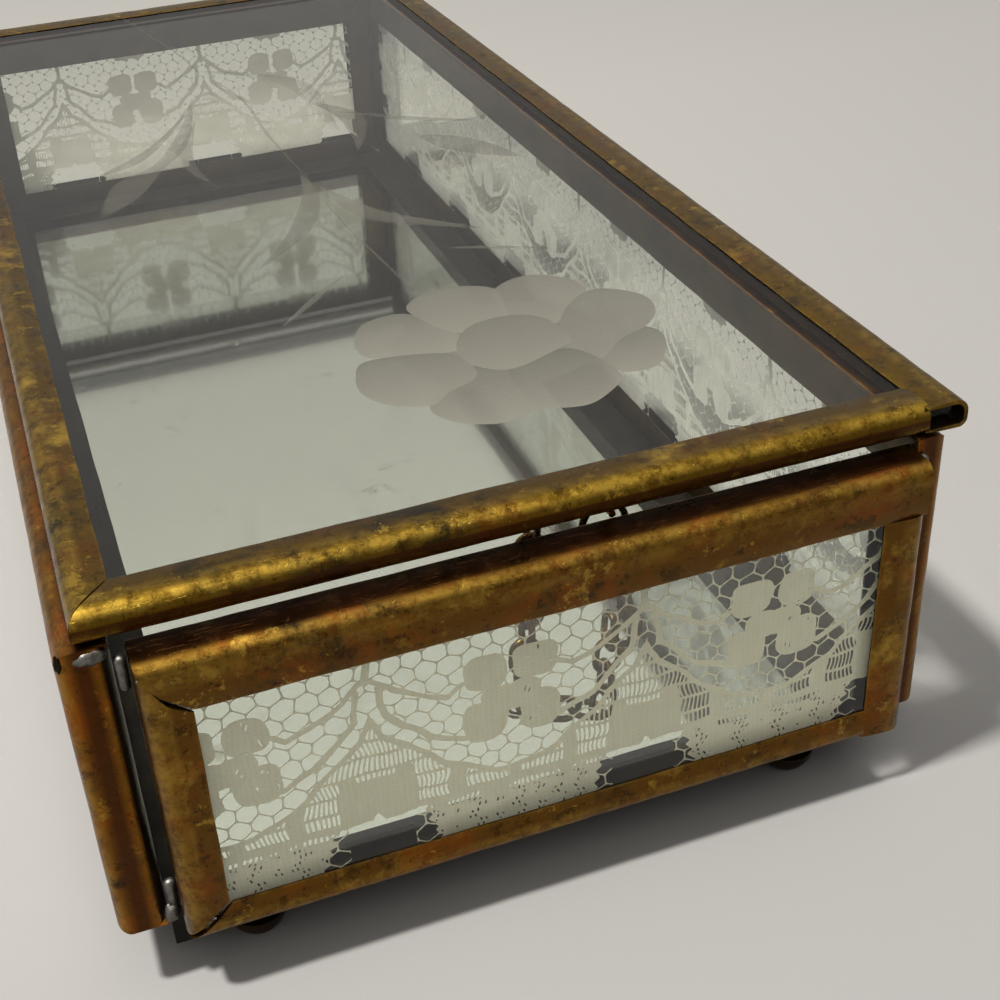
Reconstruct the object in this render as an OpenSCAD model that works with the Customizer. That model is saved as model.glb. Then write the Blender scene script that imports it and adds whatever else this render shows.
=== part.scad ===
// Glass casket box: four glazed wall panels and a mirror floor, each in a folded brass came,
// soldered at the corners, with a hinged glass lid and a stay chain. Millimetres, +Z up.
// The box stands on Z = 0 and its length runs along Y. The lid's free edge is at -X.

/* [Walls] */
// Length over the two end panels
box_length = 178.6; // [120:0.2:260]
// Width over the two side panels
box_width = 79; // [55:0.2:140]
// Height of an end panel
end_height = 30; // [22:0.1:60]
// How far a side panel stands above an end panel
side_rise = 0.8; // [0.5:0.1:2]
// Depth of the came round an end panel
end_depth = 4.4; // [3.4:0.1:6]
// Depth of the came round the left panel
left_depth = 4.4; // [3.4:0.1:6]
// Depth of the came round the right panel
right_depth = 3.4; // [2.6:0.1:5]
// How far a side panel reaches past the inner face of an end panel
side_overlap = 1.3; // [0.8:0.1:2]
// Gap between an end panel and the right panel
corner_gap = 0.1; // [0.05:0.01:0.2]
// Gap between an end panel and the left panel, which solder fills
left_gap = 1.1; // [1.05:0.05:1.3]
// Came lip seen on each upright of a side panel
upright_lip = 4.9; // [3:0.1:7]
// Came lip seen on the left upright of an end panel
end_left_lip = 4; // [3:0.1:7]
// Came lip seen on the right upright of an end panel
end_right_lip = 4.4; // [3:0.1:7]
// Came lip seen along the top of a wall panel
top_lip = 5.2; // [3:0.1:7]
// Came lip seen along the bottom of a wall panel
bottom_lip = 3.4; // [2.4:0.1:6]

/* [Came] */
// Thickness of the brass sheet that the came is folded from
sheet = 0.4; // [0.3:0.05:0.6]
// Outer radius of the came's folded edges
fold_radius = 1; // [0.7:0.05:1.2]
// Thickness of the lace between the panes
lace_thickness = 0.3; // [0.2:0.05:0.5]
// How far a pane's edge stays back from the came's web
edge_gap = 0.6; // [0.6:0.05:0.9]
// Width of the cut where two lips meet
seam_width = 0.16; // [0.1:0.01:0.3]
// Width of the open notch at the lower left corner
notch_width = 0.5; // [0.3:0.05:0.8]
// Depth of the cuts into the lips
seam_depth = 0.5; // [0.3:0.05:0.7]

/* [Lid] */
// How far the lid's ends stay inside the end panels' outer faces
lid_end_gap = 3.3; // [2:0.1:6]
// How far the lid's free edge stays inside the left panel's face
lid_inset = 1.7; // [1:0.1:3]
// How far the hinged edge reaches past the right panel's face
lid_overhang = 1.8; // [1.7:0.1:3]
// Thickness of the lid's came
lid_depth = 2.9; // [2.5:0.1:4]
// Lip along the lid's free edge
lid_free_lip = 3.7; // [2.5:0.1:6]
// Lip along the lid's other edges
lid_lip = 4.3; // [3:0.1:6]
// Gap between the closed lid and the side panels
lid_gap = 0.15; // [0.1:0.01:0.3]
// Width of the rail end that stands open at the near hinged corner
rail_end_width = 3.8; // [3.2:0.1:4.2]
// Length of the open hollow in that rail end
rail_end_hollow = 2; // [1.2:0.1:3]
// Thickness of the walls round that hollow
rail_end_wall = 0.5; // [0.45:0.05:0.7]

/* [Floor] */
// Depth of the came round the floor
floor_depth = 4.6; // [4:0.1:6]
// How far the floor rises between the walls
floor_rise = 0.2; // [0.1:0.05:1]
// Gap between the floor's came and the walls
floor_gap = 0.05; // [0.03:0.01:0.1]
// Lip round the floor mirror
floor_lip = 4.3; // [3:0.1:6]
// Thickness of the mirror's backing card
backing_thickness = 0.4; // [0.3:0.05:0.8]

/* [Feet] */
// Height of the feet
foot_height = 2.6; // [2:0.1:5]
// Radius of the domes
foot_radius = 2.8; // [2.7:0.1:6]
// Distance of a foot's centre from the side panel's outer face
foot_in_x = 12.2; // [8:0.1:20]
// Distance of a foot's centre from the end panel's outer face
foot_in_y = 6.7; // [5.5:0.1:20]

/* [Hinges] */
// Distance of the hinge axis from the side panel's face and from the lid's underside
axis_offset = 0.95; // [0.9:0.01:1.1]
// Outer radius of a knuckle
knuckle_radius = 0.75; // [0.7:0.01:0.85]
// Length of a knuckle
knuckle_length = 2.4; // [1.8:0.1:5]
// Gap between neighbouring knuckles
knuckle_gap = 0.15; // [0.1:0.01:0.3]
// Radius of a hinge pin
pin_radius = 0.35; // [0.25:0.01:0.4]
// Clearance round a hinge pin
pin_clearance = 0.05; // [0.02:0.01:0.08]
// Radius of a pin's head
pin_head_radius = 0.6; // [0.5:0.01:0.7]
// Thickness of a pin's head
pin_head_thickness = 0.35; // [0.2:0.05:0.6]
// Distance of each hinge from the middle of the box
hinge_spacing = 52; // [20:0.5:70]
// Thickness of a hinge leaf
leaf_thickness = 0.4; // [0.3:0.05:0.5]
// Height of a hinge leaf below the knuckles
leaf_height = 3; // [2:0.1:6]
// Width of the block between a lid knuckle and the lid
block_width = 0.7; // [0.5:0.05:0.8]

/* [Solder] */
// Radius of a solder bead
bead_radius = 0.5; // [0.3:0.05:0.6]
// Distance of a bead's centre from the two faces it fills
bead_offset = 0.55; // [0.5:0.01:0.8]
// Length of a bead
bead_length = 3.4; // [2:0.1:8]
// Distance of a bead from the end panel's top or bottom
bead_inset = 0.6; // [0.3:0.1:3]

/* [Chain] */
// Thickness of the chain's wire
wire = 0.65; // [0.5:0.01:0.7]
// Distance from one link to the next
link_pitch = 2.75; // [2.6:0.01:3.2]
// Width over a link
link_width = 3; // [2.7:0.05:3.4]
// Slack between neighbouring links
link_gap = 0.12; // [0.08:0.01:0.16]
// Distance of the box strand's middle plane from the near end panel's inner face
chain_stand_off = 1.85; // [1.8:0.05:4]
// Gap between the box strand and the strand that runs on to the lid
strand_gap = 0.35; // [0.3:0.01:0.6]
// Radius to the middle of the wire of the ring on the panel
ring_radius = 2; // [1.8:0.05:2.3]
// Distance of that ring from the middle of the box
ring_x = 7.32; // [0:0.01:15]
// Distance of the ring's top below the side panels' top
ring_drop = 0.3; // [0.2:0.05:2]
// Where on the ring the chain hangs: 0 is at +X and -90 at the bottom
ring_pivot_angle = -45; // [-60:1:-30]
// Radius to the middle of the wire of the staple under the lid
staple_radius = 1.3; // [1:0.05:2]
// Place of the staple from the middle of the box
staple_x = 1.3; // [-10:0.1:5]
// Distance of the staple from the near end panel's inner face
staple_stand_off = 2.8; // [2:0.05:3.2]

/* [Hidden] */
$fn = 32;
wire_fn = 14;
// cuts and overlaps inside one piece
eps = 0.01;
brass = [0.55, 0.42, 0.2];
clear = [0.8, 0.9, 0.88, 0.35];
cream = [0.82, 0.78, 0.68];
grey = [0.55, 0.55, 0.53];

// the box is set so that the middle of its whole outline, lid included, is at X = 0
middle_x = -lid_overhang / 2;
floor_bottom = foot_height;
wall_bottom = floor_bottom + floor_depth - floor_rise;
side_height = end_height + side_rise;
left_inner = -box_width / 2 + left_depth;
right_inner = box_width / 2 - right_depth;
end_inner = box_length / 2 - end_depth;
end_left = left_inner + left_gap;
end_right = right_inner - corner_gap;
end_width = end_right - end_left;
end_middle = (end_left + end_right) / 2;
side_length = 2 * (end_inner + side_overlap);
lid_length = box_length - 2 * lid_end_gap;
wall_top = wall_bottom + side_height;
lid_bottom = wall_top + lid_gap;
lid_left = -box_width / 2 + lid_inset;
lid_right = box_width / 2 + lid_overhang;
lid_width = lid_right - lid_left;
lid_middle = (lid_left + lid_right) / 2;
floor_left = left_inner + floor_gap;
floor_right = right_inner - floor_gap;
floor_width = floor_right - floor_left;
floor_middle = (floor_left + floor_right) / 2;
floor_length = 2 * (end_inner - floor_gap);
pane_inset = sheet + edge_gap;
axis_x = box_width / 2 + axis_offset;
axis_z = lid_bottom - axis_offset;
barrel = 3 * knuckle_length + 2 * knuckle_gap;

// chain: the strands' middle planes, the pivots at both ends and the runs at rest
chain_y = -end_inner + chain_stand_off;
strand_y = chain_y + link_width + strand_gap;
staple_y = -end_inner + staple_stand_off;
link_length = link_pitch + 2 * wire + link_gap;
link_reach = (link_length - wire) / 2;
link_return = link_pitch - link_reach;
ring_z = wall_top - ring_drop - ring_radius - wire / 2;
pivot_radius = ring_radius - wire - link_gap;
box_pivot = [ring_x, ring_z] + pivot_radius * [cos(ring_pivot_angle), sin(ring_pivot_angle)];
lid_pivot = [staple_x, lid_bottom - staple_radius + wire + link_gap];
// number of links in each run
box_run_links = 4;
drop_links = 4;
bend_links = 3;
lid_run_links = 8;
// direction of each run at rest, from the lid's end towards the box, 0 is along +X and 90 is up
box_run_angle = -86.4;
lid_run_angle = 265.3;
bend_angle = 339.7;
drop_angle = 85.2;
// the cross link's wire is the pivot of every bend
lid_run_length = (lid_run_links - 1) * link_pitch + link_reach + link_return;
bend_length = (bend_links - 1) * link_pitch + 2 * link_reach;
bend_pivot = lid_pivot + lid_run_length * [cos(lid_run_angle), sin(lid_run_angle)];
drop_pivot = bend_pivot + bend_length * [cos(bend_angle), sin(bend_angle)];

// ---- shared shapes ----

module placed() {
    translate([middle_x, 0, 0]) children();
}

module rounded_section(width, height, radius) {
    square([width - 2 * radius, height], center = true);
    square([width, height - 2 * radius], center = true);
    for (side_x = [-1, 1])
        for (side_y = [-1, 1])
            translate([side_x * (width / 2 - radius), side_y * (height / 2 - radius)])
                circle(radius);
}

// a plate in X and Y whose long edges are rounded and meet in mitres
module folded_block(width, height, depth, radius) {
    intersection() {
        rotate([90, 0, 90])
            linear_extrude(width, center = true)
                rounded_section(height, depth, radius);
        rotate([90, 0, 0])
            linear_extrude(height, center = true)
                rounded_section(width, depth, radius);
    }
}

// the folded strip round one panel: front face towards +Z, lips in the order left, right, bottom, top
module came(width, height, depth, lips) {
    inside = 2 * sheet;
    difference() {
        folded_block(width, height, depth, fold_radius);
        folded_block(width - inside, height - inside, depth - inside, fold_radius - sheet);
        translate([-width / 2 + lips[0], -height / 2 + lips[2], -depth])
            cube([width - lips[0] - lips[1], height - lips[2] - lips[3], 2 * depth]);
    }
}

// a straight cut through the front lip between two points
module lip_cut(from, to, depth, width) {
    along = to - from;
    translate([from[0], from[1], depth / 2 - seam_depth])
        rotate([0, 0, atan2(along[1], along[0])])
            translate([0, -width / 2, 0])
                cube([norm(along), width, seam_depth + fold_radius]);
}

module pane(width, height, thickness, middle) {
    translate([0, 0, middle])
        cube([width - 2 * pane_inset, height - 2 * pane_inset, thickness], center = true);
}

function pane_thickness(depth) = (depth - 2 * sheet - lace_thickness) / 2;
function pane_middle(depth) = (lace_thickness + pane_thickness(depth)) / 2;
function side_depth(side) = side < 0 ? left_depth : right_depth;

// ---- the places of the panels ----

module at_end(side) {
    placed()
        translate([end_middle, side * (box_length - end_depth) / 2, wall_bottom + end_height / 2])
            rotate([90, 0, side > 0 ? 180 : 0])
                children();
}

module at_side(side) {
    placed()
        translate([side * (box_width - side_depth(side)) / 2, 0, wall_bottom + side_height / 2])
            rotate([90, 0, side * 90])
                children();
}

module at_lid() {
    placed()
        translate([lid_middle, 0, lid_bottom + lid_depth / 2])
            children();
}

module at_floor() {
    placed()
        translate([floor_middle, 0, floor_bottom + floor_depth / 2])
            children();
}

module end_frame(side) {
    left = -end_width / 2;
    right = end_width / 2;
    low = -end_height / 2;
    high = end_height / 2;
    glass_left = left + end_left_lip;
    glass_right = right - end_right_lip;
    glass_low = low + bottom_lip;
    glass_high = high - top_lip;
    at_end(side)
        difference() {
            came(end_width, end_height, end_depth, [end_left_lip, end_right_lip, bottom_lip, top_lip]);
            // lower left: the open notch, upper left: a tight mitre
            lip_cut([left, low], [glass_left + eps, glass_low + eps], end_depth, notch_width);
            lip_cut([left, high], [glass_left + eps, glass_high - eps], end_depth, seam_width);
            // lower right: the ends of the strip butt, upper right: the overlap
            lip_cut([glass_right - seam_width, low], [glass_right - seam_width, glass_low + eps],
                end_depth, seam_width);
            lip_cut([glass_right - eps, glass_high - eps], [right, high], end_depth, seam_width);
        }
}

module side_frame(side) {
    depth = side_depth(side);
    left = -side_length / 2;
    right = side_length / 2;
    low = -side_height / 2;
    high = side_height / 2;
    at_side(side)
        difference() {
            came(side_length, side_height, depth, [upright_lip, upright_lip, bottom_lip, top_lip]);
            for (edge = [[left, 1], [right, -1]]) {
                inner = edge[0] + edge[1] * upright_lip;
                lip_cut([edge[0], low], [inner, low + bottom_lip + eps], depth, seam_width);
                lip_cut([inner, high - top_lip - eps], [edge[0], high], depth, seam_width);
            }
        }
}

module end_pane(side, face) {
    at_end(side)
        pane(end_width, end_height, pane_thickness(end_depth), face * pane_middle(end_depth));
}

module side_pane(side, face) {
    depth = side_depth(side);
    at_side(side)
        pane(side_length, side_height, pane_thickness(depth), face * pane_middle(depth));
}

// ---- wall nodes ----

module near_end_frame() color(brass) end_frame(-1);
module near_end_outer_glass() color(clear) end_pane(-1, 1);
module near_end_lace() color(cream) at_end(-1) pane(end_width, end_height, lace_thickness, 0);
module near_end_inner_glass() color(clear) end_pane(-1, -1);

module far_end_frame() color(brass) end_frame(1);
module far_end_outer_glass() color(clear) end_pane(1, 1);
module far_end_lace() color(cream) at_end(1) pane(end_width, end_height, lace_thickness, 0);
module far_end_inner_glass() color(clear) end_pane(1, -1);

module left_side_frame() color(brass) side_frame(-1);
module left_side_outer_glass() color(clear) side_pane(-1, 1);
module left_side_lace() color(cream) at_side(-1) pane(side_length, side_height, lace_thickness, 0);
module left_side_inner_glass() color(clear) side_pane(-1, -1);

module right_side_frame() color(brass) side_frame(1);
module right_side_outer_glass() color(clear) side_pane(1, 1);
module right_side_lace() color(cream) at_side(1) pane(side_length, side_height, lace_thickness, 0);
module right_side_inner_glass() color(clear) side_pane(1, -1);

// ---- floor ----

mirror_thickness = floor_depth - 2 * sheet - backing_thickness;

module floor_frame() {
    color(brass)
        at_floor()
            came(floor_width, floor_length, floor_depth, [floor_lip, floor_lip, floor_lip, floor_lip]);
}

module floor_mirror() {
    color(grey)
        at_floor()
            pane(floor_width, floor_length, mirror_thickness, backing_thickness / 2);
}

module floor_backing() {
    color(cream)
        at_floor()
            pane(floor_width, floor_length, backing_thickness, -mirror_thickness / 2);
}

// ---- solder: upright beads in the corners, short ones under the walls ----

module bead(length) {
    straight = length - 2 * bead_radius;
    cylinder(h = straight, r = bead_radius, center = true);
    for (end = [-1, 1])
        translate([0, 0, end * straight / 2])
            sphere(bead_radius);
}

module corner_solder() {
    bead_top = wall_bottom + end_height - bead_inset - bead_length / 2;
    bead_low = wall_bottom + bead_inset + fold_radius + bead_length / 2;
    under_z = wall_bottom - bead_offset;
    // at the left the beads lie in the gap, at the right in front of the panel's end
    left_bead_y = side_length / 2 - bead_radius / 2;
    right_bead_y = side_length / 2 + bead_offset - corner_gap;
    color(grey)
        placed() {
            for (side_x = [-1, 1])
                for (side_y = [-1, 1])
                    for (bead_z = [bead_low, bead_top])
                        translate([
                            side_x < 0 ? left_inner + left_gap / 2 : end_right + bead_offset,
                            side_y * (side_x < 0 ? left_bead_y : right_bead_y),
                            bead_z
                        ])
                            bead(bead_length);
            for (side_x = [-1, 1])
                for (along_y = [-hinge_spacing, 0, hinge_spacing])
                    translate([
                        floor_middle + side_x * (floor_width / 2 + bead_offset),
                        along_y,
                        under_z
                    ])
                        rotate([90, 0, 0])
                            bead(bead_length);
            for (side_y = [-1, 1])
                translate([floor_middle, side_y * (floor_length / 2 + bead_offset), under_z])
                    rotate([0, 90, 0])
                        bead(bead_length);
        }
}

// ---- feet ----

module foot(side_x, side_y) {
    color(brass)
        placed()
            translate([
                side_x * (box_width / 2 - foot_in_x),
                side_y * (box_length / 2 - foot_in_y),
                foot_height
            ])
                intersection() {
                    sphere(foot_radius);
                    translate([0, 0, -foot_height / 2])
                        cube([3 * foot_radius, 3 * foot_radius, foot_height], center = true);
                }
}

module foot_near_left() foot(-1, -1);
module foot_near_right() foot(1, -1);
module foot_far_left() foot(-1, 1);
module foot_far_right() foot(1, 1);

// ---- hinges: two knuckles on the wall, one on the lid between them ----

module at_hinge(side) {
    placed()
        translate([axis_x, side * hinge_spacing, axis_z])
            children();
}

module along_y(length, radius) {
    rotate([90, 0, 0])
        cylinder(h = length, r = radius, center = true);
}

module box_knuckles(side) {
    outer = knuckle_length + knuckle_gap;
    leaf_top = -knuckle_radius - knuckle_gap;
    color(brass)
        at_hinge(side)
            difference() {
                union() {
                    for (end = [-1, 1]) {
                        translate([0, end * outer, 0])
                            along_y(knuckle_length, knuckle_radius);
                        translate([-axis_offset, end * outer - knuckle_length / 2, leaf_top - eps])
                            cube([leaf_thickness, knuckle_length, -leaf_top + eps]);
                    }
                    translate([-axis_offset, -barrel / 2, leaf_top - leaf_height])
                        cube([leaf_thickness, barrel, leaf_height]);
                }
                along_y(barrel + 2 * knuckle_length, pin_radius + pin_clearance);
            }
}

module lid_knuckle(side) {
    color(brass)
        at_hinge(side)
            difference() {
                union() {
                    along_y(knuckle_length, knuckle_radius);
                    translate([-block_width, -knuckle_length / 2, 0])
                        cube([block_width, knuckle_length, axis_offset]);
                }
                along_y(2 * knuckle_length, pin_radius + pin_clearance);
            }
}

module hinge_pin(side) {
    color(brass)
        at_hinge(side) {
            along_y(barrel + 2 * eps, pin_radius);
            for (end = [-1, 1])
                translate([0, end * (barrel + pin_head_thickness) / 2, 0])
                    along_y(pin_head_thickness, pin_head_radius);
        }
}

module near_hinge_box_knuckles() box_knuckles(-1);
module near_hinge_pin() hinge_pin(-1);
module near_hinge_lid_knuckle() lid_knuckle(-1);
module far_hinge_box_knuckles() box_knuckles(1);
module far_hinge_pin() hinge_pin(1);
module far_hinge_lid_knuckle() lid_knuckle(1);

// ---- lid ----

// the lid's outer form: the hinged rail runs past the near one and ends square
module lid_block() {
    near = -lid_length / 2;
    left = -lid_width / 2;
    intersection() {
        union() {
            translate([left, 0, 0])
                rotate([90, 0, 90])
                    linear_extrude(lid_width - rail_end_width)
                        rounded_section(lid_length, lid_depth, fold_radius);
            translate([-left - rail_end_width, 0, 0])
                rotate([90, 0, 90])
                    linear_extrude(rail_end_width) {
                        rounded_section(lid_length, lid_depth, fold_radius);
                        translate([near, -lid_depth / 2])
                            square([2 * fold_radius, lid_depth]);
                    }
        }
        rotate([90, 0, 0])
            linear_extrude(lid_length, center = true)
                rounded_section(lid_width, lid_depth, fold_radius);
    }
}

module lid_frame() {
    near = -lid_length / 2;
    right = lid_width / 2;
    inside = 2 * sheet;
    butt_x = right - rail_end_width;
    hollow_width = rail_end_width - 2 * rail_end_wall;
    hollow_height = lid_depth - 2 * rail_end_wall;
    color(brass)
        at_lid()
            difference() {
                lid_block();
                folded_block(lid_width - inside, lid_length - inside, lid_depth - inside,
                    fold_radius - sheet);
                translate([lid_free_lip - right, near + lid_lip, -lid_depth])
                    cube([lid_width - lid_free_lip - lid_lip, lid_length - 2 * lid_lip, 2 * lid_depth]);
                // the hinged rail's end is left open
                translate([butt_x + rail_end_wall, near - eps, -hollow_height / 2])
                    cube([hollow_width, rail_end_hollow, hollow_height]);
                lip_cut([butt_x, near - eps], [butt_x, near + lid_lip + eps], lid_depth, seam_width);
                lip_cut([-right, near], [lid_free_lip - right + eps, near + lid_lip + eps],
                    lid_depth, seam_width);
                lip_cut([-right, -near], [lid_free_lip - right + eps, -near - lid_lip - eps],
                    lid_depth, seam_width);
                lip_cut([right, -near], [right - lid_lip - eps, -near - lid_lip - eps],
                    lid_depth, seam_width);
            }
}

module lid_glass() {
    color(clear)
        at_lid()
            pane(lid_width, lid_length, lid_depth - 2 * sheet, 0);
}

// ---- stay chain ----

module at_chain(point, angle, plane) {
    placed()
        translate([point[0], plane, point[1]])
            rotate([0, 90 - angle, 0])
                children();
}

module half_loop(radius) {
    rotate([90, 0, 0])
        rotate_extrude(angle = 180, $fn = 2 * wire_fn)
            translate([radius, 0])
                circle(wire / 2, $fn = wire_fn);
}

module link() {
    radius = (link_width - wire) / 2;
    straight = link_length - link_width;
    for (end = [-1, 1]) {
        translate([end * radius, 0, 0])
            cylinder(h = straight, r = wire / 2, center = true, $fn = wire_fn);
        translate([0, 0, end * straight / 2])
            rotate([0, end > 0 ? 0 : 180, 0])
                half_loop(radius);
    }
}

// links along +Z from a pivot: a cross link lies across the chain's plane.
// sway is how far along Y the run ends from where it starts, a little at each link
module run(count, cross_first, sway = 0) {
    first = cross_first ? link_reach : link_return;
    length = (count - 1) * link_pitch + link_reach + link_return;
    for (index = [0:count - 1]) {
        cross = (index % 2 == 0) == cross_first;
        along = first + index * link_pitch;
        translate([0, sway * along / length, along])
            rotate([0, 0, cross ? 90 : 0])
                link();
    }
}

module box_chain_ring() {
    stub = chain_stand_off;
    color(brass)
        placed()
            translate([ring_x, chain_y, ring_z])
                union() {
                    half_loop(ring_radius);
                    rotate([0, 180, 0])
                        half_loop(ring_radius);
                    translate([0, -stub / 2, ring_radius])
                        along_y(stub, wire / 2);
                }
}

module lid_chain_staple() {
    color(brass)
        placed()
            translate([staple_x, staple_y, lid_bottom])
                rotate([0, 180, 0])
                    half_loop(staple_radius);
}

module chain_box_run() {
    color(brass)
        at_chain(box_pivot, box_run_angle, chain_y)
            run(box_run_links, true);
}

module chain_lid_run() {
    color(brass)
        at_chain(lid_pivot, lid_run_angle, staple_y)
            run(lid_run_links, true, strand_y - staple_y);
}

module chain_bend() {
    color(brass)
        at_chain(bend_pivot, bend_angle, strand_y)
            run(bend_links, true);
}

module chain_drop() {
    color(brass)
        at_chain(drop_pivot, drop_angle, strand_y)
            run(drop_links, false);
}

near_end_frame();
near_end_outer_glass();
near_end_lace();
near_end_inner_glass();
far_end_frame();
far_end_outer_glass();
far_end_lace();
far_end_inner_glass();
left_side_frame();
left_side_outer_glass();
left_side_lace();
left_side_inner_glass();
right_side_frame();
right_side_outer_glass();
right_side_lace();
right_side_inner_glass();
floor_frame();
floor_mirror();
floor_backing();
corner_solder();
foot_near_left();
foot_near_right();
foot_far_left();
foot_far_right();
near_hinge_box_knuckles();
near_hinge_pin();
near_hinge_lid_knuckle();
far_hinge_box_knuckles();
far_hinge_pin();
far_hinge_lid_knuckle();
lid_frame();
lid_glass();
box_chain_ring();
lid_chain_staple();
chain_box_run();
chain_drop();
chain_bend();
chain_lid_run();
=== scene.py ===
import math

import bpy
import numpy as np
from mathutils import Matrix, Vector, noise


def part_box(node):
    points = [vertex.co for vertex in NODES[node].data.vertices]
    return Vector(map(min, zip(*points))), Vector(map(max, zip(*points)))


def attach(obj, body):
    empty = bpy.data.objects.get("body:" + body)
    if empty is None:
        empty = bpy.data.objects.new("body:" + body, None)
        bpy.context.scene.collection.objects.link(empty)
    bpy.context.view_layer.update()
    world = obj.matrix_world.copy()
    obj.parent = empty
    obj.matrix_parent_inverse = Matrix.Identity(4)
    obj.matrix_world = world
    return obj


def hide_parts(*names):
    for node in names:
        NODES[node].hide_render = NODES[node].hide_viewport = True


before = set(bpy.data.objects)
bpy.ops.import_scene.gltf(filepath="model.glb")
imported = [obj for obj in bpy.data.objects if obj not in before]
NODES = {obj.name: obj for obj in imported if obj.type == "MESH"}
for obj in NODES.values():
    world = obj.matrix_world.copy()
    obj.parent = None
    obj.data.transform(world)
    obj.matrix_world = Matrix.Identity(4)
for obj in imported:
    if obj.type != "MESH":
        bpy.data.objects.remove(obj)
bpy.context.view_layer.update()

MM = 0.001
scene = bpy.context.scene


# ---------------------------------------------------------------- materials
class Nodes:
    """A short way to write a node tree."""

    def __init__(self, name):
        self.material = bpy.data.materials.new(name)
        self.material.use_nodes = True
        self.tree = self.material.node_tree
        self.tree.nodes.clear()
        self.out = self.tree.nodes.new("ShaderNodeOutputMaterial")

    def add(self, kind, **sockets):
        node = self.tree.nodes.new(kind)
        for key, value in sockets.items():
            if hasattr(node, key) and not key[0].isupper():
                setattr(node, key, value)
                continue
            socket = node.inputs[key.replace("_", " ")] if isinstance(key, str) else node.inputs[key]
            if isinstance(value, bpy.types.NodeSocket):
                self.tree.links.new(value, socket)
            else:
                socket.default_value = value
        return node

    def link(self, a, b):
        self.tree.links.new(a, b)

    def noise(self, vector, scale, detail=4, rough=0.6):
        node = self.add("ShaderNodeTexNoise", Vector=vector, Scale=scale, Detail=detail, Roughness=rough)
        return node.outputs["Fac"]

    def ramp(self, fac, stops):
        node = self.add("ShaderNodeValToRGB", Fac=fac)
        ramp = node.color_ramp
        while len(ramp.elements) < len(stops):
            ramp.elements.new(0.5)
        for element, (position, colour) in zip(ramp.elements, stops):
            element.position = position
            element.color = (*colour, 1) if len(colour) == 3 else colour
        return node.outputs["Color"]

    def grey(self, fac, low, high, a=0.0, b=1.0):
        node = self.add("ShaderNodeMapRange", Value=fac)
        node.clamp = True
        for key, value in (("From Min", low), ("From Max", high), ("To Min", a), ("To Max", b)):
            node.inputs[key].default_value = value
        return node.outputs["Result"]

    def mix(self, fac, a, b, blend="MIX"):
        node = self.tree.nodes.new("ShaderNodeMix")
        node.data_type = "RGBA"
        node.blend_type = blend
        node.clamp_factor = True
        for socket, value in zip((node.inputs[0], node.inputs[6], node.inputs[7]), (fac, a, b)):
            if isinstance(value, bpy.types.NodeSocket):
                self.tree.links.new(value, socket)
            elif isinstance(value, (int, float)):
                socket.default_value = value
            else:
                socket.default_value = (*value, 1)
        return node.outputs[2]

    def math(self, op, a, b=0.0):
        node = self.tree.nodes.new("ShaderNodeMath")
        node.operation = op
        for socket, value in zip(node.inputs, (a, b)):
            if isinstance(value, bpy.types.NodeSocket):
                self.tree.links.new(value, socket)
            else:
                socket.default_value = value
        return node.outputs[0]

    def bump(self, height, strength, distance):
        return self.add("ShaderNodeBump", Height=height, Strength=strength, Distance=distance).outputs["Normal"]

    def shader(self, **sockets):
        node = self.tree.nodes.new("ShaderNodeBsdfPrincipled")
        for key, value in sockets.items():
            socket = node.inputs[key.replace("_", " ")]
            if isinstance(value, bpy.types.NodeSocket):
                self.tree.links.new(value, socket)
            elif key == "Base_Color":
                socket.default_value = (*value, 1)
            else:
                socket.default_value = value
        self.link(node.outputs[0], self.out.inputs[0])
        return node


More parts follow.
